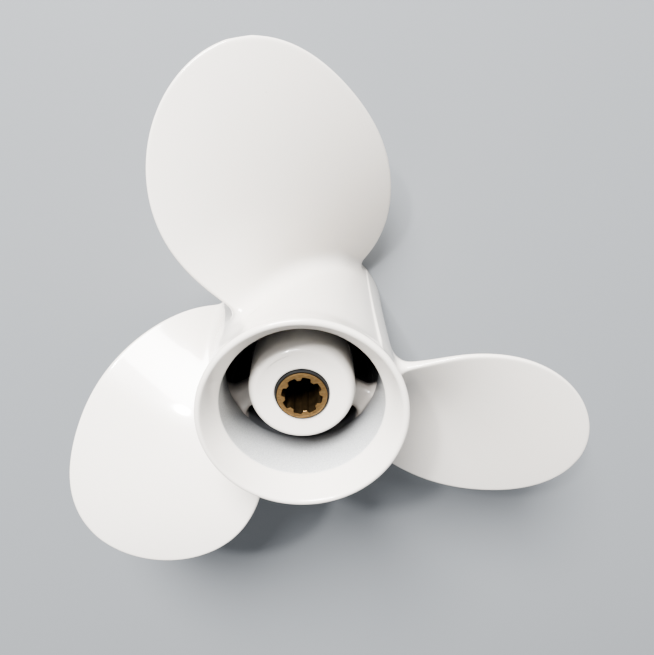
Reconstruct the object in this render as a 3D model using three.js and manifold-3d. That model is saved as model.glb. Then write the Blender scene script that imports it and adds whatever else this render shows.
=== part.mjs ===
// Three-blade outboard propeller: one painted aluminium casting whose barrel carries the engine
// exhaust through the hub, with a rubber cushion bush and a splined brass sleeve pressed in on its axis.
//
// Units are millimetres. +Z is the shaft axis and points aft. The propeller stands on the forward rim
// of its barrel. The origin is the centre of mass, on the shaft axis. "Depth" is measured forward from
// the barrel's aft lip. The casting is held as nodes that nearly touch, all of one rigid body: barrel,
// hub, three ribs and three blades.

import * as THREE from 'three';
import { mergeVertices } from 'three/addons/utils/BufferGeometryUtils.js';
import Module from 'manifold-3d';

const wasm = await Module();
wasm.setup();

// ---- driving dimensions ----

const bladeCount = 3;
const aftLipHeight = 47;             // height of the aft lip above the centre of mass
const gap = 0.3;                     // clearance kept between neighbouring solids

const barrel = {
  length: 88,
  lipRadius: 35.7,                   // outside of the flared aft lip
  lipRound: 1.3,                     // radius of the rounded lip
  flareDepth: 14,                    // where the flare has run out into the barrel
  waistRadius: 33.6,                 // outside, at the end of the flare
  flareBend: 1.8,                    // 1 makes the flare a cone, and more bends it outward
  forwardRadius: 36.2,               // outside, at the forward rim
  barrelBend: 1.6,                   // 1 makes it a cone, and more turns it out at the forward rim
  throatRadius: 28.5,                // inside, where the conical mouth ends
  throatDepth: 8.9,
  chamberDepth: 32,                  // where the throat steps out to the exhaust passages
  chamberStep: 2,                    // depth that the step takes
  chamberRadius: 30.2,
  forwardBoreRadius: 32.2,           // inside, at the forward rim
};

const hub = {
  aftDepth: 16.1,                    // aft face
  forwardDepth: 84,
  aftRadius: 19.3,
  forwardRadius: 20.6,
  edgeInset: 3.2,                    // the aft edge is rounded to a quarter ellipse
  edgeDepth: 5.5,
  lipBoreRadius: 9.8,                // hole in the aft face
  lipThickness: 4,
  bushBoreRadius: 14.8,              // bore that holds the rubber bush
};

const rib = {
  width: 10.2,
  aftDepth: 35.5,
  forwardDepth: 82,
};

const bush = {
  forwardDepth: 80,
};

const sleeve = {
  aftDepth: 14.8,                    // stands a little proud of the hub's aft face
  forwardDepth: 86,
  outerRadius: 8.95,
  toothCount: 8,
  grooveRadius: 7.3,                 // spline major radius
  toothRadius: 6.1,                  // spline minor radius
  toothRootHalfAngle: 8.5,           // degrees, half a tooth at the groove floor
  toothTipHalfAngle: 7,              // degrees, half a tooth at its crest
  firstTooth: 10,                    // degrees
};

const blade = {
  centreRadius: 70,                  // from the shaft axis to the point that the outline is drawn around
  firstAngle: 90,                    // degrees, direction of the first blade
  pitch: 233.6,                      // axial travel of the helical face in one turn
  depth: 42.1,                       // depth of the face at the centre radius
  rake: 9.6 / 50,                    // the face leans aft with radius
  rakeCurve: 6 / 50 ** 2,            // and the lean eases off towards the tip
  dish: 4.3 / 45 ** 2,               // both edges fall forward of the helix
  rootLift: 4.5,                     // the trailing corner of the root is turned aft
  rootLiftStart: 5,                  // how far in from the centre radius that begins
  rootLiftRun: 31,
  rootLiftBend: 1.7,
  rootLiftChord: 36,
  edgeThickness: 1.9,
  rootThickness: 7.4,
  tipThickness: 3.0,
  rootRadius: 33,
  tipRadius: 117.5,
};

// Distance from the blade's centre point to its edge, as a mean and its first three cosine and sine terms.
// Angle 0 points outward along the blade, and 90 degrees points to the trailing edge.
const outline = {
  mean: 48.2,
  cosines: [-3.9, 0.2, -2.0],
  sines: [7.3, 6.9, -0.3],
  swells: [                          // local swells of the edge: middle angle, half width, height
    { middle: 1.2, halfWidth: 0.55, height: 0.9 },
    { middle: 2.55, halfWidth: 0.7, height: 1.7 },
  ],
};

const colours = {
  paint: { color: 0xe9e6e1, roughness: 0.28, metalness: 0.0 },
  insidePaint: { color: 0xd8d5cf, roughness: 0.5, metalness: 0.0 },
  rubber: { color: 0x17171a, roughness: 0.85, metalness: 0.0 },
  brass: { color: 0xb8863f, roughness: 0.38, metalness: 1.0 },
};

const roundSegments = 60;
const bladeStations = { around: 44, across: 7 };

// ---- helpers ----

const degrees = (angle) => THREE.MathUtils.degToRad(angle);
const heightAt = (depth) => aftLipHeight - depth;

// A solid of revolution about the shaft axis from a closed profile of [radius, depth] points, listed
// counter-clockwise when radius runs right and depth runs down.
function revolve(profile) {
  const points = profile.map(([radius, depth]) => new THREE.Vector2(radius, heightAt(depth)));
  points.push(points[0].clone());
  const geometry = new THREE.LatheGeometry(points, roundSegments);
  geometry.rotateX(Math.PI / 2);
  return geometry;
}

function toManifold(geometry) {
  const bare = geometry.clone();
  bare.deleteAttribute('normal');
  bare.deleteAttribute('uv');
  const merged = mergeVertices(bare, 1e-4);
  return new wasm.Manifold(new wasm.Mesh({
    numProp: 3,
    vertProperties: merged.attributes.position.array,
    triVerts: new Uint32Array(merged.index.array),
  }));
}

function fromManifold(solid) {
  const mesh = solid.getMesh();
  const geometry = new THREE.BufferGeometry();
  geometry.setAttribute('position', new THREE.BufferAttribute(mesh.vertProperties, 3));
  geometry.setIndex(new THREE.BufferAttribute(mesh.triVerts, 1));
  return geometry;
}

// Points of a rounded corner, in [radius, depth], swept from one angle to the other about its centre. The
// corner is as wide as it is deep unless a depth is given for it.
function roundCorner(radius, depth, corner, from, to, steps, cornerDepth = corner) {
  return Array.from({ length: steps + 1 }, (_, i) => {
    const angle = degrees(from + (to - from) * i / steps);
    return [radius + corner * Math.cos(angle), depth - cornerDepth * Math.sin(angle)];
  });
}

// ---- barrel ----

// Outside of the barrel, from the forward rim to the aft lip: a curved taper, then a flare.
function barrelOutside(extra = 0) {
  const flareSteps = 5;
  const taperSteps = 4;
  const points = [];
  for (let i = taperSteps; i >= 0; i -= 1) {
    const along = i / taperSteps;
    const rise = (barrel.forwardRadius - barrel.waistRadius) * along ** barrel.barrelBend;
    points.push([barrel.waistRadius + rise, barrel.flareDepth + (barrel.length - barrel.flareDepth) * along]);
  }
  const flareRun = barrel.flareDepth - barrel.lipRound;
  const flareRise = barrel.lipRadius - barrel.waistRadius;
  for (let i = 1; i < flareSteps; i += 1) {
    const along = i / flareSteps;
    const radius = barrel.waistRadius + flareRise * along ** barrel.flareBend;
    points.push([radius, barrel.flareDepth - flareRun * along]);
  }
  const lip = roundCorner(barrel.lipRadius - barrel.lipRound, barrel.lipRound, barrel.lipRound, 0, 120, 5);
  return points.concat(lip).map(([radius, depth]) => [radius + extra, depth]);
}

// Inside of the barrel, from the mouth to the forward rim: cone, throat, step and tapered chamber.
function barrelInside() {
  return [
    [barrel.throatRadius, barrel.throatDepth],
    [barrel.throatRadius, barrel.chamberDepth],
    [barrel.chamberRadius, barrel.chamberDepth + barrel.chamberStep],
    [barrel.forwardBoreRadius, barrel.length],
  ];
}

function makeBarrel() {
  return revolve([...barrelOutside(), ...barrelInside()]);
}

// ---- hub, ribs, bush and sleeve ----

function makeHub() {
  const { edgeInset, edgeDepth } = hub;
  const cornerRadius = hub.aftRadius - edgeInset;
  const edge = roundCorner(cornerRadius, hub.aftDepth + edgeDepth, edgeInset, 0, 90, 5, edgeDepth);
  return revolve([
    [hub.forwardRadius, hub.forwardDepth],
    ...edge,
    [hub.lipBoreRadius, hub.aftDepth],
    [hub.lipBoreRadius, hub.aftDepth + hub.lipThickness],
    [hub.bushBoreRadius, hub.aftDepth + hub.lipThickness],
    [hub.bushBoreRadius, hub.forwardDepth],
  ]);
}

// One web from the hub to the barrel wall, cut from the ring of space between them.
function makeRib(angle) {
  const hubTaper = (hub.forwardRadius - hub.aftRadius) / (hub.forwardDepth - hub.aftDepth);
  const chamberStart = barrel.chamberDepth + barrel.chamberStep;
  const boreTaper = (barrel.forwardBoreRadius - barrel.chamberRadius) / (barrel.length - chamberStart);
  const hubSide = (depth) => hub.aftRadius + hubTaper * (depth - hub.aftDepth) + gap;
  const wallSide = (depth) => barrel.chamberRadius + boreTaper * (depth - chamberStart) - gap;
  const ring = revolve([
    [wallSide(rib.forwardDepth), rib.forwardDepth],
    [wallSide(rib.aftDepth), rib.aftDepth],
    [hubSide(rib.aftDepth), rib.aftDepth],
    [hubSide(rib.forwardDepth), rib.forwardDepth],
  ]);
  const reach = barrel.forwardRadius;
  const web = new THREE.BoxGeometry(reach, rib.width, barrel.length * 2);
  web.translate(reach / 2, 0, 0);
  web.rotateZ(degrees(angle));
  return fromManifold(toManifold(ring).intersect(toManifold(web)));
}

function makeBush() {
  const aftDepth = hub.aftDepth + hub.lipThickness + gap;
  return revolve([
    [hub.bushBoreRadius - gap, bush.forwardDepth],
    [hub.bushBoreRadius - gap, aftDepth],
    [sleeve.outerRadius + gap, aftDepth],
    [sleeve.outerRadius + gap, bush.forwardDepth],
  ]);
}

// The splined hole: flat-topped teeth with slanted flanks, standing in from a round groove floor.
function splineHole() {
  const hole = new THREE.Path();
  const toothPitch = 360 / sleeve.toothCount;
  const floorSteps = 3;
  const points = [];
  const add = (radius, angle) => {
    points.push(new THREE.Vector2(radius * Math.cos(degrees(angle)), radius * Math.sin(degrees(angle))));
  };
  for (let tooth = 0; tooth < sleeve.toothCount; tooth += 1) {
    const middle = sleeve.firstTooth + tooth * toothPitch;
    add(sleeve.toothRadius, middle - sleeve.toothTipHalfAngle);
    add(sleeve.toothRadius, middle);
    add(sleeve.toothRadius, middle + sleeve.toothTipHalfAngle);
    const floorStart = middle + sleeve.toothRootHalfAngle;
    const floorAngle = toothPitch - 2 * sleeve.toothRootHalfAngle;
    for (let step = 0; step <= floorSteps; step += 1) {
      add(sleeve.grooveRadius, floorStart + floorAngle * step / floorSteps);
    }
  }
  hole.setFromPoints(points);
  return hole;
}

function makeSleeve() {
  const section = new THREE.Shape();
  section.absarc(0, 0, sleeve.outerRadius, 0, Math.PI * 2, false);
  section.holes.push(splineHole());
  const length = sleeve.forwardDepth - sleeve.aftDepth;
  const settings = { depth: length, bevelEnabled: false, curveSegments: 24 };
  const geometry = new THREE.ExtrudeGeometry(section, settings);
  geometry.translate(0, 0, heightAt(sleeve.forwardDepth));
  return geometry;
}

// ---- blades ----

function outlineReach(angle) {
  const wave = (terms, turn) => terms.reduce((sum, term, i) => sum + term * turn((i + 1) * angle), 0);
  const swell = outline.swells.reduce((sum, { middle, halfWidth, height }) => {
    const off = Math.min(1, Math.abs(angle - middle) / halfWidth);
    return sum + height * (1 + Math.cos(Math.PI * off)) / 2;
  }, 0);
  return outline.mean + wave(outline.cosines, Math.cos) + wave(outline.sines, Math.sin) + swell;
}

function trailingRootLift(outward, chord) {
  const inward = Math.max(0, (-outward - blade.rootLiftStart) / blade.rootLiftRun);
  const aftShare = THREE.MathUtils.smoothstep(chord, 0, blade.rootLiftChord);
  return blade.rootLift * inward ** blade.rootLiftBend * aftShare;
}

// A point of the blade's aft face. The chord runs along the helix of its radius, so the outline is drawn
// on the unrolled blade.
function facePoint(angle, share) {
  const reach = share * outlineReach(angle);
  const radius = blade.centreRadius + reach * Math.cos(angle);
  const chord = reach * Math.sin(angle);
  const advance = blade.pitch / (2 * Math.PI);
  const turn = chord / Math.hypot(radius, advance);
  const outward = radius - blade.centreRadius;
  const height = heightAt(blade.depth) + advance * turn
    + blade.rake * outward - blade.rakeCurve * outward ** 2 - blade.dish * chord ** 2
    + trailingRootLift(outward, chord);
  const direction = degrees(blade.firstAngle) + turn;
  return new THREE.Vector3(radius * Math.cos(direction), radius * Math.sin(direction), height);
}

// Thickness falls from the middle of the chord to both edges, and from root to tip.
function bladeThickness(angle, share) {
  const radius = blade.centreRadius + share * outlineReach(angle) * Math.cos(angle);
  const outward = (radius - blade.rootRadius) / (blade.tipRadius - blade.rootRadius);
  const along = THREE.MathUtils.clamp(outward, 0, 1);
  const core = THREE.MathUtils.lerp(blade.rootThickness, blade.tipThickness, along);
  const towardsEdge = Math.cos(angle) > 0 ? share : share * Math.abs(Math.sin(angle));
  return blade.edgeThickness + (core - blade.edgeThickness) * (1 - towardsEdge ** 2);
}

function faceNormal(angle, share) {
  const step = 1e-3;
  const near = Math.max(share, 0.05);
  const along = facePoint(angle + step, near).sub(facePoint(angle - step, near));
  const across = facePoint(angle, near + step).sub(facePoint(angle, near - step));
  return across.cross(along).normalize();
}

// A closed blade that runs on inside the barrel. Both faces are fans of rings around its centre point.
function makeWholeBlade() {
  const { around, across } = bladeStations;
  const positions = [];
  const indices = [];
  const centreNormal = faceNormal(0, 0);
  const layers = [
    () => blade.edgeThickness / 2,
    (angle, share) => blade.edgeThickness / 2 - bladeThickness(angle, share),
  ];
  for (const offset of layers) {
    const centre = facePoint(0, 0).addScaledVector(centreNormal, offset(0, 0));
    positions.push(...centre.toArray());
    for (let ring = 1; ring <= across; ring += 1) {
      const share = Math.sin((ring / across) * Math.PI / 2);
      for (let i = 0; i < around; i += 1) {
        const angle = (i / around) * 2 * Math.PI;
        const point = facePoint(angle, share);
        point.addScaledVector(faceNormal(angle, share), offset(angle, share));
        positions.push(...point.toArray());
      }
    }
  }
  const layerSize = 1 + across * around;
  const at = (layer, ring, i) => layer * layerSize + 1 + (ring - 1) * around + (i % around);
  const addTriangle = (a, b, c, flip) => indices.push(a, flip ? c : b, flip ? b : c);
  for (const layer of [0, 1]) {
    const flip = layer === 1;
    for (let i = 0; i < around; i += 1) {
      addTriangle(layer * layerSize, at(layer, 1, i), at(layer, 1, i + 1), flip);
      for (let ring = 1; ring < across; ring += 1) {
        addTriangle(at(layer, ring, i), at(layer, ring + 1, i), at(layer, ring + 1, i + 1), flip);
        addTriangle(at(layer, ring, i), at(layer, ring + 1, i + 1), at(layer, ring, i + 1), flip);
      }
    }
  }
  for (let i = 0; i < around; i += 1) {
    addTriangle(at(0, across, i), at(1, across, i), at(1, across, i + 1), false);
    addTriangle(at(0, across, i), at(1, across, i + 1), at(0, across, i + 1), false);
  }
  const geometry = new THREE.BufferGeometry();
  geometry.setAttribute('position', new THREE.Float32BufferAttribute(positions, 3));
  geometry.setIndex(indices);
  return geometry;
}

// Each blade ends just clear of the barrel's outside, so it is cut by a solid core that is one gap larger.
const coreAxisRadius = 0.01;
const barrelCore = toManifold(revolve([
  ...barrelOutside(gap),
  [coreAxisRadius, -gap],
  [coreAxisRadius, barrel.length],
]));
const wholeBlade = toManifold(makeWholeBlade());

function makeBlade(index) {
  const turned = wholeBlade.rotate([0, 0, index * 360 / bladeCount]);
  return fromManifold(turned.subtract(barrelCore));
}

// ---- assembly ----

const group = new THREE.Group();

function addNode(name, geometry, finish) {
  geometry.computeVertexNormals();
  const mesh = new THREE.Mesh(geometry, new THREE.MeshStandardMaterial(finish));
  mesh.name = name;
  group.add(mesh);
}

addNode('outer_barrel', makeBarrel(), colours.paint);
addNode('inner_hub', makeHub(), colours.insidePaint);
for (let index = 0; index < bladeCount; index += 1) {
  const direction = blade.firstAngle + index * 360 / bladeCount;
  addNode(`rib_${index + 1}`, makeRib(direction), colours.insidePaint);
  addNode(`blade_${index + 1}`, makeBlade(index), colours.paint);
}
addNode('rubber_bush', makeBush(), colours.rubber);
addNode('splined_sleeve', makeSleeve(), colours.brass);

export default group;
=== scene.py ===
import math

import bmesh
import bpy
from mathutils import Matrix, Vector


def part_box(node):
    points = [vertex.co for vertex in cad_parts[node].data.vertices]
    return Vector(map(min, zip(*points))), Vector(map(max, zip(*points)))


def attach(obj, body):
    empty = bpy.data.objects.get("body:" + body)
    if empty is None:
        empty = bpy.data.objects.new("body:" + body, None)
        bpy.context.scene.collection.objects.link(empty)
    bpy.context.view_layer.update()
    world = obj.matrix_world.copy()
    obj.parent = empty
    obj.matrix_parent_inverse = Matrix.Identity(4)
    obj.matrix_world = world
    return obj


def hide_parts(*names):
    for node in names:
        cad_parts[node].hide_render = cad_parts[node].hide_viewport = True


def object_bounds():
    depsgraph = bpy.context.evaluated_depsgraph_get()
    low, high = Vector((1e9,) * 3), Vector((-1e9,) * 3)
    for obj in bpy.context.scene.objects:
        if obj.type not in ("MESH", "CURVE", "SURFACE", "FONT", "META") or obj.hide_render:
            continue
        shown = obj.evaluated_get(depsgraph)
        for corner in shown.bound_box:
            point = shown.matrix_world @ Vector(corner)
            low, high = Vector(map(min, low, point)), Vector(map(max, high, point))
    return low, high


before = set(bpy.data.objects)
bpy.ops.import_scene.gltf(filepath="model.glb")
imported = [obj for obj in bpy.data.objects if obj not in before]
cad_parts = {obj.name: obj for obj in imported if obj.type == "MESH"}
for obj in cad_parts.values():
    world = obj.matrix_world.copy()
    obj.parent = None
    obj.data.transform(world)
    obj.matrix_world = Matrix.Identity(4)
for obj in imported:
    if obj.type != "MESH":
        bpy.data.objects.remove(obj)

cadLow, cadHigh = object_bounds()
mm = 0.001                      # every setting below is in millimetres or degrees
barrelLow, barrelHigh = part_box("outer_barrel")
hubLow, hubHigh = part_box("inner_hub")
sleeveLow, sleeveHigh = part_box("splined_sleeve")
bushLow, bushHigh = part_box("rubber_bush")
ribLow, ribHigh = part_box("rib_1")
lipHeight = barrelHigh.z / mm   # the aft lip; depths are measured forward (down) from it
print("frame loaded, lip at", round(lipHeight, 2), "mm")


def depthOf(height):
    return lipHeight - height / mm


def fade(value, start, end):    # 0 before start, 1 after end, smooth between
    share = min(1, max(0, (value - start) / (end - start)))
    return share * share * (3 - 2 * share)


cameraLook = {
    "tilt": 22.5,               # off the shaft axis, towards the first blade
    "roll": 0.12,
    "distance": 203.6,          # from the aft lip's plane
    "aimRight": 0.74,
    "aimUp": 35.92,
    "lens": 34.1,
    "shift": (0.035, -0.0272),
}


def makeCamera():
    tilt = math.radians(cameraLook["tilt"])
    back = Vector((0, math.sin(tilt), math.cos(tilt)))
    right = Vector((1, 0, 0))
    up = back.cross(right)
    turn = Matrix.Rotation(math.radians(cameraLook["roll"]), 3, back)
    right, up = turn @ right, turn @ up
    aim = right * cameraLook["aimRight"] + up * cameraLook["aimUp"] + Vector((0, 0, lipHeight))
    place = (aim + back * cameraLook["distance"]) * mm
    data = bpy.data.cameras.new("camera")
    data.lens = cameraLook["lens"]
    data.sensor_width = 36
    data.shift_x, data.shift_y = cameraLook["shift"]
    data.clip_start = 0.01
    camera = bpy.data.objects.new("camera", data)
    bpy.context.scene.collection.objects.link(camera)
    axes = Matrix((right, up, back)).transposed().to_4x4()
    camera.matrix_world = Matrix.Translation(place) @ axes
    bpy.context.scene.camera = camera


makeCamera()
print("camera placed")


def linear(hexColour):          # sRGB hex to the linear values that Blender mixes
    parts = [int(hexColour[i:i + 2], 16) / 255 for i in (1, 3, 5)]
    return [p / 12.92 if p <= 0.04045 else ((p + 0.055) / 1.055) ** 2.4 for p in parts] + [1]


def addNode(tree, kind, settings=None, links=None):
    node = tree.nodes.new(kind)
    for name, value in (settings or {}).items():
        if isinstance(name, int) or name in node.inputs:
            node.inputs[name].default_value = value
        else:
            setattr(node, name, value)
    for name, source in (links or {}).items():
        tree.links.new(source, node.inputs[name])
    return node


def startMaterial(name):
    material = bpy.data.materials.new(name)
    material.use_nodes = True
    tree = material.node_tree
    tree.nodes.clear()
    shader = addNode(tree, "ShaderNodeBsdfPrincipled")
    addNode(tree, "ShaderNodeOutputMaterial", links={"Surface": shader.outputs["BSDF"]})
    coords = addNode(tree, "ShaderNodeTexCoord").outputs["Object"]
    return material, tree, shader, coords


enamelLook = {
    "colour": "#F1EAE1",
    "warmColour": "#EDE5DA",
    "insideColour": "#D6D7D6",
    "insideSand": "#B2B4B4",
    "throatShadeColour": "#434447",
    "throatDepth": (8, 36),     # painted shade: the colour darkens from here to here, deeper into the throat
    "fleckColour": "#B9B2A6",
    "cloudSize": 60,            # slow change of film thickness
    "peelSize": 2.2,            # orange peel of the sprayed coat
    "peelHeight": 0.006,
    "nibSpacing": 5.5,          # dust nibs caught in the coat
    "nibSize": 0.32,
    "nibHeight": 0.05,
    "nibRarity": 0.72,          # share of the spacing cells that stay clean
    "nibTint": 0.35,
    "sandSize": 0.45,           # grain of the sand core inside, drawn a little coarse so that it shows
    "sandHeight": 0.03,
    "sandContrast": (0.42, 0.68),
    "wallRadii": (27.6, 33),    # the barrel's inner wall lies between these distances from the shaft
    "coreRadii": (33.2, 32.8),  # outside the first nothing gets the painted passage shade, inside the second all of it may
    "hubShadeDepth": (17, 37),       # painted shade: the hub and ribs darken a little from here to here, deeper in
    "hubShade": "#7C726C",
    "hubShadeStrength": 0.62,
    "mouthDepth": (8.5, 9.3),   # the glossy coat of the mouth ends here
    "ribDepth": (33.2, 34.2),   # and is back on the ribs
    "ribSpread": (0.42, 0.34),  # how far it reaches to each side of them
    "passageShadeDepth": (37.5, 40.5),       # painted shade: the passages turn near black from here to here, where little light reaches
    "passageShadeColour": "#141414",
    "scuff": ((-8.5, 13.2, 31), 5.5, 15.7, 0.4),        # rub on the hub: middle, reach, ring radius, width
    "scuffColour": "#A39C93",
    "roughness": 0.24,
    "insideRoughness": 0.5,
    "coat": (0.6, 0.07),        # weight and roughness of the clear layer
}


# White stoving enamel sprayed on cast aluminium: a thick glossy coat with faint orange peel and a few
# dust nibs outside, and a thin dull coat over the sandy core surface inside the barrel.
def whiteEnamel():
    look = enamelLook
    material, tree, shader, coords = startMaterial("white_stoving_enamel")
    flat = addNode(tree, "ShaderNodeVectorMath", {"operation": "MULTIPLY"}, {0: coords})
    flat.inputs[1].default_value = (1, 1, 0)
    radius = addNode(tree, "ShaderNodeVectorMath", {"operation": "LENGTH"}, {0: flat.outputs[0]})
    place = addNode(tree, "ShaderNodeSeparateXYZ", links={"Vector": coords})
    near, far = look["wallRadii"]
    within = addNode(tree, "ShaderNodeMapRange", {"From Min": far * mm, "From Max": (far - 0.3) * mm},
                     {"Value": radius.outputs["Value"]})
    start, end = (lipHeight - depth for depth in look["mouthDepth"])
    below = addNode(tree, "ShaderNodeMapRange", {"From Min": start * mm, "From Max": end * mm},
                    {"Value": place.outputs["Z"], "To Max": within.outputs["Result"]})
    wall = addNode(tree, "ShaderNodeMapRange", {
        "From Min": near * mm, "From Max": (near + 0.6) * mm,
    }, {"Value": radius.outputs["Value"], "To Max": below.outputs["Result"]})
    turn = addNode(tree, "ShaderNodeMath", {"operation": "ARCTAN2"},
                   {0: place.outputs["X"], 1: place.outputs["Y"]})
    toRib = addNode(tree, "ShaderNodeMath", {"operation": "MULTIPLY", 1: 1.5}, {0: turn.outputs[0]})
    swing = addNode(tree, "ShaderNodeMath", {"operation": "SINE"}, {0: toRib.outputs[0]})
    aside = addNode(tree, "ShaderNodeMath", {"operation": "ABSOLUTE"}, {0: swing.outputs[0]})
    start, end = (lipHeight - depth for depth in look["ribDepth"])
    ribBelow = addNode(tree, "ShaderNodeMapRange", {"From Min": start * mm, "From Max": end * mm},
                       {"Value": place.outputs["Z"]})
    spreadStart, spreadEnd = look["ribSpread"]
    onRib = addNode(tree, "ShaderNodeMapRange", {"From Min": spreadStart, "From Max": spreadEnd},
                    {"Value": aside.outputs[0], "To Max": ribBelow.outputs["Result"]})
    notRib = addNode(tree, "ShaderNodeMath", {"operation": "SUBTRACT", 0: 1}, {1: onRib.outputs["Result"]})
    inside = addNode(tree, "ShaderNodeMath", {"operation": "MULTIPLY"},
                     {0: wall.outputs["Result"], 1: notRib.outputs[0]})

    cloud = addNode(tree, "ShaderNodeTexNoise", {"Scale": 1 / (look["cloudSize"] * mm), "Detail": 3},
                    {"Vector": coords})
    coat = addNode(tree, "ShaderNodeMix", {"data_type": "RGBA"}, {"Factor": cloud.outputs["Fac"]})
    coat.inputs[6].default_value = linear(look["colour"])
    coat.inputs[7].default_value = linear(look["warmColour"])

    sand = addNode(tree, "ShaderNodeTexNoise", {"Scale": 1 / (look["sandSize"] * mm), "Detail": 2,
                                                "Roughness": 0.7}, {"Vector": coords})
    low, high = look["sandContrast"]
    sandMask = addNode(tree, "ShaderNodeMapRange", {"From Min": low, "From Max": high},
                       {"Value": sand.outputs["Fac"]})
    thin = addNode(tree, "ShaderNodeMix", {"data_type": "RGBA"}, {"Factor": sandMask.outputs["Result"]})
    thin.inputs[6].default_value = linear(look["insideColour"])
    thin.inputs[7].default_value = linear(look["insideSand"])

    nibs = addNode(tree, "ShaderNodeTexVoronoi", {"Scale": 1 / (look["nibSpacing"] * mm)}, {"Vector": coords})
    nibEdge = look["nibSize"] / look["nibSpacing"]
    nibMask = addNode(tree, "ShaderNodeMapRange", {"From Min": nibEdge, "From Max": nibEdge * 0.3},
                      {"Value": nibs.outputs["Distance"]})
    nibPick = addNode(tree, "ShaderNodeSeparateColor", links={"Color": nibs.outputs["Color"]})
    nibFew = addNode(tree, "ShaderNodeMath", {"operation": "GREATER_THAN", 1: look["nibRarity"]},
                     {0: nibPick.outputs["Red"]})
    nibHere = addNode(tree, "ShaderNodeMath", {"operation": "MULTIPLY"},
                      {0: nibMask.outputs["Result"], 1: nibFew.outputs[0]})
    middle, reach, ring, width = look["scuff"]
    rub = addNode(tree, "ShaderNodeVectorMath", {"operation": "DISTANCE"}, {0: coords})
    rub.inputs[1].default_value = Vector(middle) * mm
    rubNear = addNode(tree, "ShaderNodeMapRange", {"From Min": reach * mm, "From Max": reach * mm * 0.5},
                      {"Value": rub.outputs["Value"]})
    rubOff = addNode(tree, "ShaderNodeMath", {"operation": "SUBTRACT", 1: ring * mm},
                     {0: radius.outputs["Value"]})
    rubAway = addNode(tree, "ShaderNodeMath", {"operation": "ABSOLUTE"}, {0: rubOff.outputs[0]})
    rubRing = addNode(tree, "ShaderNodeMapRange", {"From Min": width * mm, "From Max": 0},
                      {"Value": rubAway.outputs[0]})
    rubbed = addNode(tree, "ShaderNodeMath", {"operation": "MULTIPLY"},
                     {0: rubNear.outputs["Result"], 1: rubRing.outputs["Result"]})
    rubPatchy = addNode(tree, "ShaderNodeMath", {"operation": "MULTIPLY"},
                        {0: rubbed.outputs[0], 1: sand.outputs["Fac"]})
    nibTint = addNode(tree, "ShaderNodeMath", {"operation": "MULTIPLY", 1: look["nibTint"]},
                      {0: nibHere.outputs[0]})

    outside = addNode(tree, "ShaderNodeMix", {"data_type": "RGBA"},
                      {"Factor": nibTint.outputs[0], 6: coat.outputs[2]})
    outside.inputs[7].default_value = linear(look["fleckColour"])
    outside = addNode(tree, "ShaderNodeMix", {"data_type": "RGBA"},
                      {"Factor": rubPatchy.outputs[0], 6: outside.outputs[2]})
    outside.inputs[7].default_value = linear(look["scuffColour"])
    # painted shade: the throat wall darkens with depth, where the hub and lip shade it
    start, end = (lipHeight - depth for depth in look["throatDepth"])
    throatShade = addNode(tree, "ShaderNodeMapRange", {
        "interpolation_type": "SMOOTHSTEP", "From Min": start * mm, "From Max": end * mm,
    }, {"Value": place.outputs["Z"]})
    throat = addNode(tree, "ShaderNodeMix", {"data_type": "RGBA"},
                     {"Factor": throatShade.outputs["Result"], 6: thin.outputs[2]})
    throat.inputs[7].default_value = linear(look["throatShadeColour"])
    # painted shade on the hub and ribs, darker with depth
    start, end = (lipHeight - depth for depth in look["hubShadeDepth"])
    onHub = addNode(tree, "ShaderNodeMapRange", {
        "From Min": far * mm, "From Max": (far - 0.3) * mm, "To Max": look["hubShadeStrength"],
    }, {"Value": radius.outputs["Value"]})
    hubShade = addNode(tree, "ShaderNodeMapRange", {
        "interpolation_type": "SMOOTHSTEP", "From Min": start * mm, "From Max": end * mm,
    }, {"Value": place.outputs["Z"], "To Max": onHub.outputs["Result"]})
    hubShaded = addNode(tree, "ShaderNodeMix", {"data_type": "RGBA"},
                      {"Factor": hubShade.outputs["Result"], 6: outside.outputs[2]})
    hubShaded.inputs[7].default_value = linear(look["hubShade"])
    painted = addNode(tree, "ShaderNodeMix", {"data_type": "RGBA"},
                      {"Factor": inside.outputs[0], 6: hubShaded.outputs[2], 7: throat.outputs[2]})
    # painted shade: the deep passages inside the barrel go near black
    start, end = (lipHeight - depth for depth in look["passageShadeDepth"])
    deep = addNode(tree, "ShaderNodeMapRange", {"From Min": start * mm, "From Max": end * mm},
                   {"Value": place.outputs["Z"]})
    outerCore, innerCore = look["coreRadii"]
    core = addNode(tree, "ShaderNodeMapRange", {"From Min": outerCore * mm, "From Max": innerCore * mm},
                   {"Value": radius.outputs["Value"]})
    passageShade = addNode(tree, "ShaderNodeMath", {"operation": "MULTIPLY"},
                   {0: deep.outputs["Result"], 1: core.outputs["Result"]})
    colour = addNode(tree, "ShaderNodeMix", {"data_type": "RGBA"},
                     {"Factor": passageShade.outputs[0], 6: painted.outputs[2]})
    colour.inputs[7].default_value = linear(look["passageShadeColour"])
    tree.links.new(colour.outputs[2], shader.inputs["Base Color"])

    rough = addNode(tree, "ShaderNodeMapRange", {
        "To Min": look["roughness"], "To Max": look["insideRoughness"],
    }, {"Value": inside.outputs[0]})
    tree.links.new(rough.outputs["Result"], shader.inputs["Roughness"])

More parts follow.
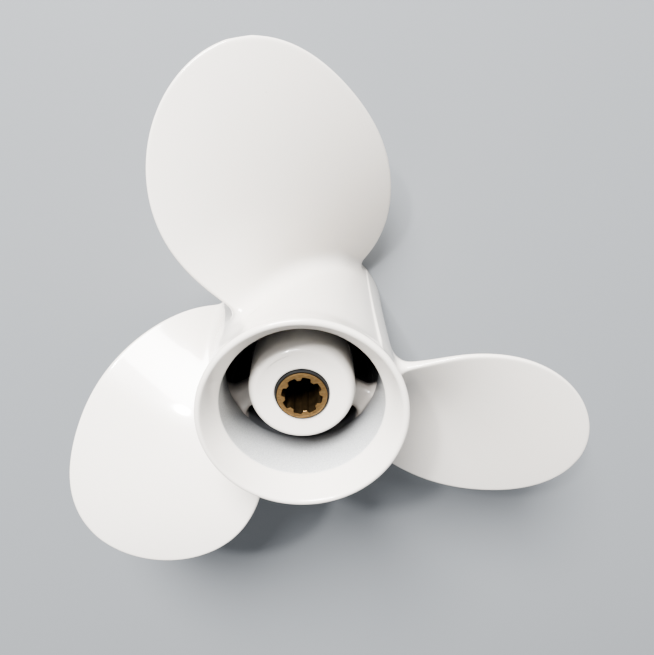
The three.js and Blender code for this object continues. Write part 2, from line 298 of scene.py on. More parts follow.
    peel = addNode(tree, "ShaderNodeTexNoise", {"Scale": 1 / (look["peelSize"] * mm), "Detail": 1},
                   {"Vector": coords})
    peelBump = addNode(tree, "ShaderNodeBump", {"Distance": look["peelHeight"] * mm},
                       {"Height": peel.outputs["Fac"]})
    nibBump = addNode(tree, "ShaderNodeBump", {"Distance": look["nibHeight"] * mm},
                      {"Height": nibHere.outputs[0], "Normal": peelBump.outputs["Normal"]})
    sandHere = addNode(tree, "ShaderNodeMath", {"operation": "MULTIPLY"},
                       {0: sand.outputs["Fac"], 1: inside.outputs[0]})
    sandBump = addNode(tree, "ShaderNodeBump", {"Distance": look["sandHeight"] * mm},
                       {"Height": sandHere.outputs[0], "Normal": nibBump.outputs["Normal"]})
    tree.links.new(sandBump.outputs["Normal"], shader.inputs["Normal"])
    shader.inputs["IOR"].default_value = 1.5
    shader.inputs["Coat Weight"].default_value, shader.inputs["Coat Roughness"].default_value = look["coat"]
    return material


brassLook = {
    "colour": "#A07C4C",
    "brightColour": "#C49E66",
    "tarnish": "#5E4A30",
    "turningPitch": 0.22,       # spacing of the tool marks on the turned end, coarse enough to show
    "turningHeight": 0.008,
    "turningStrength": 0.6,
    "tarnishSize": 5,
    "tarnishContrast": (0.44, 0.66),
    "tarnishCover": 0.75,
    "scratchSize": 0.5,
    "scratchContrast": (0.5, 0.72),
    "scratchHeight": 0.02,
    "roughness": (0.34, 0.6),
    "grease": "#120E08",
    "greaseFrom": (0, 0.1),     # distance in from the end where the old grease in the bore begins
    "greaseCover": 0.94,
}


# Turned and broached brass: ring tool marks on the end, bright scuffs on the high spots and brown tarnish
# where the machining oil has dried.
def turnedBrass():
    look = brassLook
    material, tree, shader, coords = startMaterial("turned_brass")
    flat = addNode(tree, "ShaderNodeVectorMath", {"operation": "MULTIPLY"}, {0: coords})
    flat.inputs[1].default_value = (1, 1, 0)
    radius = addNode(tree, "ShaderNodeVectorMath", {"operation": "LENGTH"}, {0: flat.outputs[0]})
    ringsPerMetre = 2 * math.pi / (look["turningPitch"] * mm)
    rings = addNode(tree, "ShaderNodeMath", {"operation": "MULTIPLY", 1: ringsPerMetre},
                    {0: radius.outputs["Value"]})
    wave = addNode(tree, "ShaderNodeMath", {"operation": "SINE"}, {0: rings.outputs[0]})

    patches = addNode(tree, "ShaderNodeTexNoise", {"Scale": 1 / (look["tarnishSize"] * mm), "Detail": 5,
                                                   "Roughness": 0.65}, {"Vector": coords})
    low, high = look["tarnishContrast"]
    patchMask = addNode(tree, "ShaderNodeMapRange", {"From Min": low, "From Max": high},
                        {"Value": patches.outputs["Fac"]})
    stretched = addNode(tree, "ShaderNodeMapping", {"Rotation": (0, 0, 0.6), "Scale": (1, 7, 1)},
                        {"Vector": coords})
    scratches = addNode(tree, "ShaderNodeTexNoise", {"Scale": 0.25 / (look["scratchSize"] * mm), "Detail": 4},
                        {"Vector": stretched.outputs["Vector"]})
    low, high = look["scratchContrast"]
    scratchMask = addNode(tree, "ShaderNodeMapRange", {"From Min": low, "From Max": high},
                          {"Value": scratches.outputs["Fac"]})

    bright = addNode(tree, "ShaderNodeMix", {"data_type": "RGBA"}, {"Factor": scratchMask.outputs["Result"]})
    bright.inputs[6].default_value = linear(look["colour"])
    bright.inputs[7].default_value = linear(look["brightColour"])
    dull = addNode(tree, "ShaderNodeMath", {"operation": "MULTIPLY", 1: look["tarnishCover"]},
                   {0: patchMask.outputs["Result"]})
    colour = addNode(tree, "ShaderNodeMix", {"data_type": "RGBA"},
                     {"Factor": dull.outputs[0], 6: bright.outputs[2]})
    colour.inputs[7].default_value = linear(look["tarnish"])
    place = addNode(tree, "ShaderNodeSeparateXYZ", links={"Vector": coords})
    start, end = (sleeveHigh.z - depth * mm for depth in look["greaseFrom"])
    cover = look["greaseCover"]
    greasy = addNode(tree, "ShaderNodeMapRange", {"From Min": start, "From Max": end, "To Max": cover},
                     {"Value": place.outputs["Z"]})
    worn = addNode(tree, "ShaderNodeMix", {"data_type": "RGBA"},
                   {"Factor": greasy.outputs["Result"], 6: colour.outputs[2]})
    worn.inputs[7].default_value = linear(look["grease"])
    tree.links.new(worn.outputs[2], shader.inputs["Base Color"])

    low, high = look["roughness"]
    dry = addNode(tree, "ShaderNodeMapRange", {"To Min": low, "To Max": high},
                  {"Value": patchMask.outputs["Result"]})
    rough = addNode(tree, "ShaderNodeMapRange", {"From Max": cover, "To Max": high},
                    {"Value": greasy.outputs["Result"], "To Min": dry.outputs["Result"]})
    tree.links.new(rough.outputs["Result"], shader.inputs["Roughness"])
    ringBump = addNode(tree, "ShaderNodeBump", {
        "Distance": look["turningHeight"] * mm, "Strength": look["turningStrength"],
    }, {"Height": wave.outputs[0]})
    scratchBump = addNode(tree, "ShaderNodeBump", {"Distance": look["scratchHeight"] * mm},
                          {"Height": scratches.outputs["Fac"], "Normal": ringBump.outputs["Normal"]})
    tree.links.new(scratchBump.outputs["Normal"], shader.inputs["Normal"])
    shader.inputs["Metallic"].default_value = 1
    return material


rubberLook = {
    "colour": "#0D0D0E",
    "bloom": "#1E1D1C",
    "bloomSize": 7,
    "bloomContrast": (0.5, 0.8),
    "bloomCover": 0.6,
    "grainSize": 0.6,
    "grainHeight": 0.02,
    "roughness": 0.72,
    "specular": 0.25,
}


# Moulded natural rubber: black, dull, with a grey bloom of wax in patches.
def mouldedRubber():
    look = rubberLook
    material, tree, shader, coords = startMaterial("moulded_rubber")
    bloom = addNode(tree, "ShaderNodeTexNoise", {"Scale": 1 / (look["bloomSize"] * mm), "Detail": 4},
                    {"Vector": coords})
    low, high = look["bloomContrast"]
    mask = addNode(tree, "ShaderNodeMapRange", {
        "From Min": low, "From Max": high, "To Max": look["bloomCover"],
    }, {"Value": bloom.outputs["Fac"]})
    colour = addNode(tree, "ShaderNodeMix", {"data_type": "RGBA"}, {"Factor": mask.outputs["Result"]})
    colour.inputs[6].default_value = linear(look["colour"])
    colour.inputs[7].default_value = linear(look["bloom"])
    tree.links.new(colour.outputs[2], shader.inputs["Base Color"])
    grain = addNode(tree, "ShaderNodeTexNoise", {"Scale": 1 / (look["grainSize"] * mm), "Detail": 2},
                    {"Vector": coords})
    bump = addNode(tree, "ShaderNodeBump", {"Distance": look["grainHeight"] * mm},
                   {"Height": grain.outputs["Fac"]})
    tree.links.new(bump.outputs["Normal"], shader.inputs["Normal"])
    shader.inputs["Roughness"].default_value = look["roughness"]
    shader.inputs["Specular IOR Level"].default_value = look["specular"]
    return material


enamel = whiteEnamel()
brass = turnedBrass()
rubber = mouldedRubber()
print("materials ready")


def makeObject(bm, name, material, levels=0):
    bmesh.ops.remove_doubles(bm, verts=bm.verts, dist=0.002)
    bmesh.ops.recalc_face_normals(bm, faces=bm.faces)
    for vert in bm.verts:
        vert.co *= mm
    for face in bm.faces:
        face.smooth = True
    mesh = bpy.data.meshes.new(name)
    bm.to_mesh(mesh)
    bm.free()
    mesh.materials.append(material)
    piece = bpy.data.objects.new(name, mesh)
    bpy.context.scene.collection.objects.link(piece)
    if levels:
        smooth = piece.modifiers.new("smooth", "SUBSURF")
        smooth.levels = smooth.render_levels = levels
    return piece


def loopEdges(verts):           # the edges that join a closed ring of vertices, in order
    return [edgeBetween(a, b) for a, b in zip(verts, verts[1:] + verts[:1])]


def edgeBetween(a, b):
    return next(edge for edge in a.link_edges if edge.other_vert(a) == b)


def startLoop(bm, places):      # a closed ring of vertices, set down at the places in order
    made = bmesh.ops.create_circle(bm, segments=len(places), radius=1)["verts"]
    row, edge = [made[0]], made[0].link_edges[0]
    while len(row) < len(places):
        row.append(edge.other_vert(row[-1]))
        edge = next(e for e in row[-1].link_edges if e != edge)
    for vert, place in zip(row, places):
        vert.co = place
    return row


def pullLoop(bm, verts, places, closed=True):   # extrudes a ring or a row, and sets the new vertices down
    edges = loopEdges(verts) if closed else [edgeBetween(a, b) for a, b in zip(verts, verts[1:])]
    made = bmesh.ops.extrude_edge_only(bm, edges=edges)["geom"]
    fresh = {part for part in made if isinstance(part, bmesh.types.BMVert)}
    row = []
    for old, place in zip(verts, places):
        new = next(edge.other_vert(old) for edge in old.link_edges if edge.other_vert(old) in fresh)
        new.co = place
        row.append(new)
    return row


def polar(radius, angle, height):
    return Vector((radius * math.cos(angle), radius * math.sin(angle), height))


barrelShape = {
    "flareDepth": 14,           # the flare runs out here
    "waistRadius": 33.6,
    "lipRadius": 35.7,
    "flareBend": 1.8,
    "barrelBend": 1.6,          # turns the barrel out towards the forward rim
    "lipRound": 1.3,
    "bandHeight": (0.9, 0.2),   # raised band beside each parting line, at the aft end and at the rim
    "bandRise": (122, 140),     # degrees from the start of the blade's sector, where the band swells up
    "stepAt": 159.2,            # the band's sharp edge, on the parting line
    "stepWidth": 1.6,
    "rimRound": 0.7,
    "sides": (26, 22),          # mesh divisions of a sector across and along the barrel
    "ringsToBlade": 6,          # rings of faces from the sector's frame to the blade root
}
rimDepth = depthOf(barrelLow.z)
rimRadius = barrelHigh.x / mm


def bandShare(angle):           # angle in degrees within the first blade's sector
    return fade(angle, *barrelShape["bandRise"])


def barrelRadius(angle, depth, band=None):
    shape = barrelShape
    along = min(1, max(0, (depth - shape["flareDepth"]) / (rimDepth - shape["flareDepth"])))
    plain = shape["waistRadius"] + (rimRadius - shape["waistRadius"]) * along ** shape["barrelBend"]
    if depth < shape["flareDepth"]:
        rise = (shape["flareDepth"] - depth) / (shape["flareDepth"] - shape["lipRound"])
        plain += (shape["lipRadius"] - shape["waistRadius"]) * rise ** shape["flareBend"]
    aftBand, rimBand = shape["bandHeight"]
    height = (aftBand + (rimBand - aftBand) * along) * fade(depth, 5, shape["flareDepth"] + 4)
    return plain + height * (bandShare(angle) if band is None else band)


bladeShape = {
    "count": 3,
    "firstAngle": 90,
    "centreRadius": 70,
    "pitch": 233.6,             # the same helix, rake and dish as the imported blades
    "depth": 42.1,
    "rake": 9.6 / 50,
    "rakeCurve": 6 / 50 ** 2,
    "dish": 4.3 / 45 ** 2,
    "edgeThickness": 1.9,
    "rootThickness": 7.4,
    "tipThickness": 3.0,
    "rootRadius": 33,
    "tipRadius": 117.5,
    "outlineMean": 48.1,        # distance from the centre point to the edge: a mean and three waves
    "outlineCosines": (-3.9, 0.2, -2.0),
    "outlineSines": (7.3, 6.9, -0.3),
    "swells": ((1.2, 0.55, 0.9), (2.55, 0.7, 1.7)),     # local swells: middle angle, half width, height
    "rootLift": (4.5, 5, 31, 1.7, 36),  # the trailing corner of the root is turned aft
    "noseLength": 4,            # how far in from the edge the back swells to full thickness
    "filletRadii": (3.4, 6.5, 6.0),     # at the leading edge, along the faces and at the trailing edge
    "filletSteps": 5,
    "edgeInsets": (0.0, 0.12, 0.45, 0.95, 2.2, 4.5, 8.0),
    "points": 96,               # round one section
    "rings": 24,                # from the fillet to the tip
    "tipAngle": 4,              # degrees of outline that the last ring leaves on each side of the tip
}


def outlineReach(angle):
    shape = bladeShape
    waves = sum(c * math.cos((i + 1) * angle) for i, c in enumerate(shape["outlineCosines"]))
    waves += sum(s * math.sin((i + 1) * angle) for i, s in enumerate(shape["outlineSines"]))
    for middle, halfWidth, height in shape["swells"]:
        waves += height * (1 + math.cos(math.pi * min(1, abs(angle - middle) / halfWidth))) / 2
    return shape["outlineMean"] + waves


def outlinePoint(angle):        # (outward, chord) on the unrolled blade
    reach = outlineReach(angle)
    return reach * math.cos(angle), reach * math.sin(angle)


def bladeSheet(outward, chord):
    shape = bladeShape
    radius = max(5, shape["centreRadius"] + outward)
    advance = shape["pitch"] / (2 * math.pi)
    turn = chord / math.hypot(radius, advance)
    height = lipHeight - shape["depth"] + advance * turn
    height += shape["rake"] * outward - shape["rakeCurve"] * outward ** 2 - shape["dish"] * chord ** 2
    lift, start, run, bend, chordRun = shape["rootLift"]
    height += lift * (max(0, -outward - start) / run) ** bend * fade(chord, 0, chordRun)
    return polar(radius, math.radians(shape["firstAngle"]) + turn, height)


def sheetNormal(outward, chord):
    step = 0.05
    along = bladeSheet(outward + step, chord) - bladeSheet(outward - step, chord)
    across = bladeSheet(outward, chord + step) - bladeSheet(outward, chord - step)
    return along.cross(across).normalized()     # points aft


def bladeSurface(outward, chord, aftSide):
    shape = bladeShape
    angle = math.atan2(chord, outward)
    away = math.hypot(outward, chord)
    reach = outlineReach(angle)
    slope = (outlineReach(angle + 0.01) - outlineReach(angle - 0.01)) / 0.02
    inset = max(0, (reach - away) / math.hypot(1, slope / reach))
    half = shape["edgeThickness"] / 2
    nose = half - min(inset, half)
    lift = math.sqrt(half ** 2 - nose ** 2)
    if aftSide:
        return bladeSheet(outward, chord) + sheetNormal(outward, chord) * lift
    radius = shape["centreRadius"] + outward
    along = min(1, max(0, (radius - shape["rootRadius"]) / (shape["tipRadius"] - shape["rootRadius"])))
    core = shape["rootThickness"] + (shape["tipThickness"] - shape["rootThickness"]) * along
    towardsEdge = away / reach * (1 if outward > 0 else abs(math.sin(angle)))
    swell = (core - shape["edgeThickness"]) * (1 - min(1, towardsEdge) ** 2)
    entry = 1 - min(inset / shape["noseLength"], 1)
    swell *= math.sqrt(1 - entry ** 2)
    return bladeSheet(outward, chord) - sheetNormal(outward, chord) * (lift + swell)


tipAngle = max((i * 0.01 - 0.6 for i in range(120)), key=lambda a: outlinePoint(a)[0])


def outlineAngleAt(radius, side):       # where the outline crosses a radius, side -1 leading and +1 trailing
    low, high = tipAngle, side * 3.0    # the radius falls from low to high
    for _ in range(40):
        middle = (low + high) / 2
        if bladeShape["centreRadius"] + outlinePoint(middle)[0] > radius:
            low = middle
        else:
            high = middle
    return (low + high) / 2


def chordShares(start, end):    # places of a section's points from one edge to the other, close at the edges
    half = bladeShape["points"] // 4
    length = math.dist(start, end)
    insets = bladeShape["edgeInsets"]
    steps = []
    for i in range(half + 1):
        limit = length / 2 * (i / half) ** 0.8
        if i < len(insets):
            steps.append(min(insets[i], limit))
        else:
            last = steps[len(insets) - 1]
            steps.append(last + (length / 2 - last) * (i - len(insets) + 1) / (half - len(insets) + 1))
    first = [s / length for s in steps]
    return first + [1 - s for s in reversed(first[:-1])]


def sectionPoints(start, end):  # aft face from leading to trailing edge, then the forward face back again
    shares = chordShares(start, end)
    flat = [(start[0] + (end[0] - start[0]) * s, start[1] + (end[1] - start[1]) * s) for s in shares]
    return [(p, True) for p in flat[:-1]] + [(p, False) for p in reversed(flat[1:])]


def filletRadius(index):        # by the point's place in the section
    count = bladeShape["points"]
    share = index / (count / 2) if index <= count / 2 else 2 - index / (count / 2)
    lead, face, trail = bladeShape["filletRadii"]
    return lead + (face - lead) * fade(share, 0, 0.3) + (trail - face) * fade(share, 0.7, 1)


def filletRing(step):           # one ring of the root fillet, from the barrel (step 0) up to the blade
    shape = bladeShape
    sweep = math.pi / 2 * step / shape["filletSteps"]
    count = shape["points"]
    rise = [filletRadius(i) * (1 - math.cos(sweep)) for i in range(count)]
    push = [filletRadius(i) * (1 - math.sin(sweep)) for i in range(count)]
    points = []
    for i in range(count):
        radius = rimRadius + rise[i]
        for _ in range(3):      # the barrel's radius changes with depth, so settle on both
            ends = [outlinePoint(outlineAngleAt(radius, side)) for side in (-1, 1)]
            flat, aftSide = sectionPoints(*ends)[i]
            point = bladeSurface(*flat, aftSide)
            angle = math.degrees(math.atan2(point.y, point.x))
            radius = barrelRadius(angle, lipHeight - point.z) + rise[i]
        points.append((math.radians(angle), point.z))
    scale = rimRadius
    moved = []
    for i in range(count):      # push the ring outward along the unrolled barrel
        a0, z0 = points[i - 1]
        a1, z1 = points[(i + 1) % count]
        tangent = Vector(((a1 - a0) * scale, z1 - z0)).normalized()
        normal = Vector((-tangent.y, tangent.x))
        angle = points[i][0] + normal.x * push[i] / scale
        height = points[i][1] + normal.y * push[i]
        radius = barrelRadius(math.degrees(angle), lipHeight - height) + rise[i]
        moved.append((radius, angle, height))
    return moved


def bladeRings():
    shape = bladeShape
    startRadius = rimRadius + max(shape["filletRadii"]) + 2
    starts = [outlineAngleAt(startRadius, side) for side in (-1, 1)]
    gap = math.radians(shape["tipAngle"])
    ends = [tipAngle - gap, tipAngle + gap]
    for k in range(shape["rings"] + 1):
        share = k / shape["rings"]
        angles = [a + (b - a) * share for a, b in zip(starts, ends)]
        yield [bladeSurface(*flat, aft) for flat, aft in sectionPoints(*[outlinePoint(a) for a in angles])]


def sectorFrame():              # the four sides of a sector, from the rim corner of its first side
    across, along = barrelShape["sides"]
    first, last = sectorAngles()
    top, bottom = barrelShape["flareDepth"], rimDepth - barrelShape["rimRound"] * 2
    corners = [(first, bottom), (first, top), (last, top), (last, bottom)]
    counts = [along, across, along, across]
    path = []
    for (a, b), (c, d), count in zip(corners, corners[1:] + corners[:1], counts):
        path += [(a + (c - a) * i / count, b + (d - b) * i / count) for i in range(count)]
    return path


def sectorAngles():
    edge = barrelShape["stepWidth"] / 2
    sector = 360 / bladeShape["count"]
    return barrelShape["stepAt"] - sector + edge, barrelShape["stepAt"] - edge


def onBarrel(angle, depth, band=None):
    return polar(barrelRadius(angle, depth, band), math.radians(angle), lipHeight - depth)


def buildSector(bm):
    frameRing = sectorFrame()
    count = len(frameRing)
    outer = startLoop(bm, [onBarrel(*place) for place in frameRing])

    root = filletRing(0)
    rootFlat = [(math.degrees(angle), lipHeight - height) for _, angle, height in root]
    row = outer
    for k in range(1, barrelShape["ringsToBlade"]):
        share = k / barrelShape["ringsToBlade"]
        share = 1 - (1 - share) ** 1.4          # closer together beside the blade
        places = [(a + (c - a) * share, b + (d - b) * share) for (a, b), (c, d) in zip(frameRing, rootFlat)]
        row = pullLoop(bm, row, [onBarrel(*place) for place in places])
    row = pullLoop(bm, row, [polar(*place) for place in root])
    for step in range(1, bladeShape["filletSteps"] + 1):
        row = pullLoop(bm, row, [polar(*place) for place in filletRing(step)])
    for places in bladeRings():
        row = pullLoop(bm, row, places)
    half = count // 2           # close the tip from the aft face to the forward face
    bmesh.ops.contextual_create(bm, geom=loopEdges(row))
    for i in range(1, half):
        bmesh.ops.connect_vert_pair(bm, verts=[row[i], row[count - i]])

    across, along = barrelShape["sides"]
    right = outer[along + across:along * 2 + across + 1]     # from the aft end to the rim
    depths = [place[1] for place in frameRing[along + across:along * 2 + across + 1]]
    _, last = sectorAngles()
    width = barrelShape["stepWidth"]
    for share, band in ((0.3, 1), (0.7, 0), (1, 0)):         # the sharp edge of the band
        right = pullLoop(bm, right, [onBarrel(last + width * share, d, band) for d in depths], closed=False)


insideShape = {
    "mouthRound": 1.3,
    "throatRadius": 28.5,
    "throatDepth": 8.9,
    "chamberDepth": 32,
    "chamberStep": 2,
    "chamberRadius": 30.2,
    "rimBoreRadius": 32.2,
    "chamberSteps": 9,          # mesh divisions along the chamber
}


def lathePath():                # from the start of the flare, over the lip, down the inside and round the rim
    shape, inner = barrelShape, insideShape
    path = []
    for i in range(1, 7):
        depth = shape["flareDepth"] + (shape["lipRound"] - shape["flareDepth"]) * i / 6
        path.append((None, depth))
    centre = shape["lipRadius"] - shape["lipRound"]
    for angle in range(25, 130, 20):
        turn = math.radians(angle)
        path.append((centre + shape["lipRound"] * math.cos(turn),
                     shape["lipRound"] * (1 - math.sin(turn))))
    mouth = path[-1]
    for share in (0.08, 0.3, 0.6, 0.9, 1):
        path.append((mouth[0] + (inner["throatRadius"] + 0.1 - mouth[0]) * share,
                     mouth[1] + (inner["throatDepth"] - 0.15 - mouth[1]) * share))
    path += [(inner["throatRadius"], inner["throatDepth"] + 0.35), (inner["throatRadius"], 12)]
    path += [(inner["throatRadius"], depth) for depth in (17, 22, 27, inner["chamberDepth"] - 0.8)]
    path += [(inner["throatRadius"] + 0.1, inner["chamberDepth"] + 0.1)]
    chamber = inner["chamberDepth"] + inner["chamberStep"]
    path += [(inner["chamberRadius"] - 0.1, chamber - 0.1)]
    steps = inner["chamberSteps"]
    for i in range(steps + 1):
        share = 0.02 + 0.98 * i / steps
        path.append((inner["chamberRadius"] + (inner["rimBoreRadius"] - inner["chamberRadius"]) * share,
                     chamber + (rimDepth - barrelShape["rimRound"] - chamber) * share))
    edge = barrelShape["rimRound"]
    path += [(inner["rimBoreRadius"] + edge * 0.15, rimDepth - edge * 0.25),
             (inner["rimBoreRadius"] + edge * 0.5, rimDepth), (rimRadius - edge, rimDepth),
             (rimRadius - edge * 0.3, rimDepth - edge * 0.3)]
    return path


def buildBarrel(bm):
    buildSector(bm)
    sector = 2 * math.pi / bladeShape["count"]
    first = list(bm.verts) + list(bm.edges) + list(bm.faces)
    for turn in range(1, bladeShape["count"]):
        copy = bmesh.ops.duplicate(bm, geom=first)["geom"]
        verts = [part for part in copy if isinstance(part, bmesh.types.BMVert)]
        bmesh.ops.rotate(bm, verts=verts, cent=(0, 0, 0), matrix=Matrix.Rotation(turn * sector, 3, "Z"))
    bmesh.ops.remove_doubles(bm, verts=bm.verts, dist=0.01)
    aft = lipHeight - barrelShape["flareDepth"]
    row = sorted((v for v in bm.verts if v.is_boundary and abs(v.co.z - aft) < 0.05),
                 key=lambda v: math.atan2(v.co.y, v.co.x))
    angles = [math.atan2(v.co.y, v.co.x) for v in row]
    start, stepAngle = sectorAngles()
    local = [(math.degrees(a) - start) % math.degrees(sector) + start for a in angles]
    stepMiddle = stepAngle + barrelShape["stepWidth"] / 2
    bands = [bandShare(a) if a <= stepAngle + 0.1 else 1 if a < stepMiddle else 0 for a in local]
    for radius, depth in lathePath():
        places = []
        for turn, angle, band in zip(angles, local, bands):
            here = barrelRadius(angle, depth, band) if radius is None else radius
            places.append(polar(here, turn, lipHeight - depth))
        row = pullLoop(bm, row, places)
    rim = [v for v in bm.verts if v.is_boundary and v not in row]
    rimEdges = [e for e in bm.edges if e.is_boundary and e.verts[0] in rim]
    bmesh.ops.bridge_loops(bm, edges=loopEdges(row) + rimEdges)


hubShape = {
    "aftRadius": 19.3,
    "edge": (3.2, 5.5),         # inset and depth of the rounded aft edge
    "lipBoreRadius": 9.8,
    "lipThickness": 4,
    "bushBoreRadius": 14.8,
    "boreChamfer": 0.4,
    "steps": 72,
}
hubAft = depthOf(hubHigh.z)
hubForward = depthOf(hubLow.z)
hubForwardRadius = hubHigh.x / mm


def hubRadius(depth):
    start = hubAft + hubShape["edge"][1]
    along = (depth - start) / (hubForward - start)
    return hubShape["aftRadius"] + (hubForwardRadius - hubShape["aftRadius"]) * along


def buildHub(bm):
    shape = hubShape
    inset, drop = shape["edge"]
    chamfer = shape["boreChamfer"]
    bore, wide = shape["lipBoreRadius"], shape["bushBoreRadius"]
    ledge = hubAft + shape["lipThickness"]
    path = [(hubForwardRadius - 0.5, hubForward), (hubForwardRadius, hubForward - 0.5)]
    path += [(hubRadius(depth), depth) for depth in (70, 55, 40, 30, 25)]
    for angle in range(0, 91, 10):
        turn = math.radians(angle)
        path.append((shape["aftRadius"] - inset + inset * math.cos(turn),
                     hubAft + drop * (1 - math.sin(turn))))
    path += [(15.6, hubAft), (13, hubAft), (bore + chamfer * 2, hubAft), (bore + chamfer, hubAft),
             (bore, hubAft + chamfer), (bore, hubAft + chamfer * 2)]
    path += [(bore, ledge - 0.3), (bore, ledge), (bore + 0.4, ledge), (wide - 0.4, ledge)]
    path += [(wide, ledge), (wide, ledge + 0.5)]
    path += [(wide, depth) for depth in (35, 50, 65, hubForward - 1)]
    path += [(wide + 0.5, hubForward)]
    verts = [bm.verts.new((radius, 0, lipHeight - depth)) for radius, depth in path]
    edges = [bm.edges.new(pair) for pair in zip(verts, verts[1:] + verts[:1])]
    bmesh.ops.spin(bm, geom=verts + edges, cent=(0, 0, 0), axis=(0, 0, 1), angle=2 * math.pi,
                   steps=shape["steps"], use_merge=True)


ribShape = {
    "corner": 2.6,
    "hubFlare": 1.2,            # fillets into the hub and the barrel wall
    "wallFlare": 4.2,
    "sink": 0.5,                # how far each end runs into its neighbour
    "points": 48,
}
ribWidth = (ribHigh.x - ribLow.x) / mm
ribAft = depthOf(ribHigh.z)
ribForward = depthOf(ribLow.z)


def ribLoop(distance, spread):  # a rounded rectangle across the rib at that distance from the shaft
    halfWide = ribWidth / 2 + spread
    halfLong = (ribForward - ribAft) / 2 + spread
    middle = (ribForward + ribAft) / 2
    corner = ribShape["corner"] + spread
    perCorner = ribShape["points"] // 4
    loop = []
    for quarter in range(4):
        signX = (1, -1, -1, 1)[quarter]
        signZ = (1, 1, -1, -1)[quarter]
        for i in range(perCorner):
            turn = math.radians(90 * (quarter + i / (perCorner - 1)))
            x = signX * (halfWide - corner) + corner * math.cos(turn)
            z = signZ * (halfLong - corner) + corner * math.sin(turn)
            loop.append(Vector((x, distance, lipHeight - middle + z)))
    return loop


def buildRib(bm, turn):
    hubFlare, wallFlare, sink = ribShape["hubFlare"], ribShape["wallFlare"], ribShape["sink"]
    inner = insideShape["chamberRadius"]
    near, far = hubRadius(ribAft) + 0.1, inner - 0.4
    stations = [(near - sink, hubFlare)]
    for angle in range(0, 91, 18):
        sweep = math.radians(angle)
        stations.append((near + hubFlare * (1 - math.cos(sweep)), hubFlare * (1 - math.sin(sweep))))
    for angle in range(90, -1, -15):
        sweep = math.radians(angle)
        stations.append((far - wallFlare * (1 - math.cos(sweep)), wallFlare * (1 - math.sin(sweep))))
    stations.append((far + sink, wallFlare))
    row = startLoop(bm, ribLoop(*stations[0]))
    made = set(row)
    caps = [loopEdges(row)]
    for distance, spread in stations[1:]:
        row = pullLoop(bm, row, ribLoop(distance, spread))
        made.update(row)
    caps.append(loopEdges(row))
    for edges in caps:
        bmesh.ops.contextual_create(bm, geom=edges)
    bmesh.ops.rotate(bm, verts=list(made), cent=(0, 0, 0), matrix=Matrix.Rotation(turn, 3, "Z"))


def makeCasting():
    bm = bmesh.new()
    buildBarrel(bm)
    buildHub(bm)
    for k in range(bladeShape["count"]):
        buildRib(bm, k * 2 * math.pi / bladeShape["count"])
    casting = makeObject(bm, "propeller_casting", enamel, levels=1)
    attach(casting, "casting")
    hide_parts("outer_barrel", "inner_hub", "rib_1", "rib_2", "rib_3",
                "blade_1", "blade_2", "blade_3")


makeCasting()
print("casting built")


sleeveShape = {
    "teeth": 8,
    "grooveRadius": 7.3,
    "toothRadius": 6.1,
    "rootHalfAngle": 8.5,
    "tipHalfAngle": 7,
    "firstTooth": 10,
    "pointsPerTooth": 16,
    "chamfer": 0.15,
}
sleeveRadius = sleeveHigh.x / mm
sleeveAft = sleeveHigh.z / mm
sleeveForward = sleeveLow.z / mm


def splineRadius(angle, grow):  # grow opens the hole, as the chamfer at its mouth does
    shape = sleeveShape
    pitch = 360 / shape["teeth"]
    off = abs((angle - shape["firstTooth"] + pitch / 2) % pitch - pitch / 2)
    crest, root = shape["tipHalfAngle"], shape["rootHalfAngle"]
    share = min(1, max(0, (off - crest + grow * 2) / (root + 1.5 - crest)))
    inner = shape["toothRadius"] + grow
    outer = shape["grooveRadius"] + grow * 0.3
    return inner + (outer - inner) * share


def sleeveRing(radiusAt, height):
    count = sleeveShape["teeth"] * sleeveShape["pointsPerTooth"]
    ring = []
    for i in range(count):
        angle = 360 * i / count + sleeveShape["firstTooth"]
        ring.append(polar(radiusAt(angle), math.radians(angle), height))
    return ring


def makeSleeve():
    bm = bmesh.new()
    cut = sleeveShape["chamfer"]
    first = row = startLoop(bm, sleeveRing(lambda a: sleeveRadius, (sleeveAft + sleeveForward) / 2))
    rings = [
        (lambda a: sleeveRadius, sleeveAft - cut),
        (lambda a: sleeveRadius - cut * 0.3, sleeveAft - cut * 0.3),
        (lambda a: sleeveRadius - cut, sleeveAft),
        (lambda a: (sleeveRadius + splineRadius(a, cut)) / 2, sleeveAft),
        (lambda a: splineRadius(a, cut), sleeveAft),
        (lambda a: splineRadius(a, 0), sleeveAft - cut),
        (lambda a: splineRadius(a, 0), (sleeveAft + sleeveForward) / 2),
        (lambda a: splineRadius(a, 0), sleeveForward + cut),
        (lambda a: splineRadius(a, cut), sleeveForward),
        (lambda a: (sleeveRadius + splineRadius(a, cut)) / 2, sleeveForward),
        (lambda a: sleeveRadius - cut, sleeveForward),
        (lambda a: sleeveRadius, sleeveForward + cut),
    ]
    for radiusAt, height in rings:
        row = pullLoop(bm, row, sleeveRing(radiusAt, height))
    bmesh.ops.bridge_loops(bm, edges=loopEdges(row) + loopEdges(first))
    sleeve = makeObject(bm, "splined_sleeve_turned", brass)
    sleeve.data.set_sharp_from_angle(angle=math.radians(28))
    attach(sleeve, "sleeve")
    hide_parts("splined_sleeve")


makeSleeve()
print("sleeve built")


bushShape = {
    "dip": 0.8,                 # the forward end is moulded hollow
    "corner": 0.8,
    "collarRadius": 9.55,       # thin skin of rubber left round the sleeve, inside the hub's lip
    "collarShort": 0.35,        # how far it stops short of the sleeve's end
    "clearance": 0.06,          # to the sleeve, where the real rubber is bonded
    "steps": 72,
}


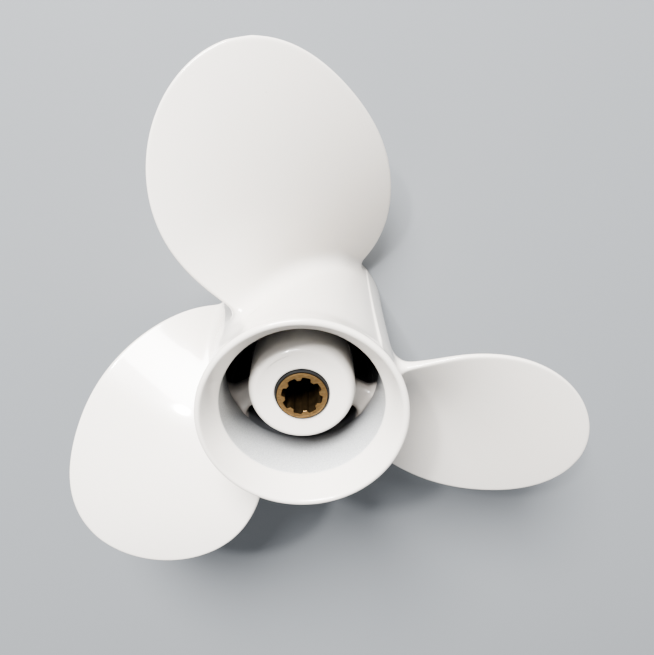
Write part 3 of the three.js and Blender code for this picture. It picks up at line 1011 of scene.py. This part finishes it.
def makeBush():
    shape = bushShape
    outer, inner = bushHigh.x / mm, sleeveRadius + shape["clearance"]
    low, high = bushLow.z / mm, bushHigh.z / mm
    corner, collar, top = shape["corner"], shape["collarRadius"], sleeveAft - shape["collarShort"]
    path = [(outer, low + corner), (outer, high - corner), (outer - corner, high)]
    path += [(collar + 0.5, high), (collar, high + 0.4), (collar, top - 0.2), (collar - 0.15, top)]
    path += [(inner, top), (inner, high), (inner, low + corner), (inner + corner, low)]
    path += [((outer + inner) / 2, low + shape["dip"]), (outer - corner, low)]
    bm = bmesh.new()
    verts = [bm.verts.new((radius, 0, height)) for radius, height in path]
    edges = [bm.edges.new(pair) for pair in zip(verts, verts[1:] + verts[:1])]
    bmesh.ops.spin(bm, geom=verts + edges, cent=(0, 0, 0), axis=(0, 0, 1), angle=2 * math.pi,
                   steps=bushShape["steps"], use_merge=True)
    bush = makeObject(bm, "rubber_bush_moulded", rubber, levels=1)
    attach(bush, "bush")
    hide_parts("rubber_bush")


makeBush()
print("bush built")


studioLook = {
    "floor": "#787B7E",
    "floorSize": 14000,
    "floorGrain": 9,            # patches per metre of slightly duller board
    "floorRoughness": (0.5, 0.62),
    "ambient": 0.55,
    "ambientColour": "#E8ECF2",
    "lamps": {                  # place, size, power
        "key": ((-460, 1720, 1290), 1000, 310),
        "ceiling": ((-765, 1325, 1580), 150, 45),       # the small lamp that glints on the blade roots
    },
}


def makeStudio():
    look = studioLook
    bm = bmesh.new()
    bmesh.ops.create_grid(bm, x_segments=1, y_segments=1, size=look["floorSize"] / 2)
    for vert in bm.verts:
        vert.co.z = cadLow.z / mm
    material, tree, shader, coords = startMaterial("pale_board")
    noise = addNode(tree, "ShaderNodeTexNoise", {"Scale": look["floorGrain"], "Detail": 2},
                    {"Vector": coords})
    smooth, dull = look["floorRoughness"]
    tone = addNode(tree, "ShaderNodeMapRange", {"To Min": smooth, "To Max": dull},
                   {"Value": noise.outputs["Fac"]})
    tree.links.new(tone.outputs["Result"], shader.inputs["Roughness"])
    shader.inputs["Base Color"].default_value = linear(look["floor"])
    makeObject(bm, "floor", material)
    for name, (place, size, power) in look["lamps"].items():
        data = bpy.data.lights.new(name, "AREA")
        data.shape = "DISK"
        data.size = size * mm
        data.energy = power
        lamp = bpy.data.objects.new(name, data)
        lamp.location = Vector(place) * mm
        lamp.rotation_mode = "QUATERNION"
        lamp.rotation_quaternion = (-Vector(place)).to_track_quat("-Z", "Y")
        bpy.context.scene.collection.objects.link(lamp)
    world = bpy.data.worlds.new("studio")
    world.use_nodes = True
    background = world.node_tree.nodes["Background"]
    background.inputs["Strength"].default_value = look["ambient"]
    background.inputs["Color"].default_value = linear(look["ambientColour"])
    bpy.context.scene.world = world


makeStudio()
print("studio lit")
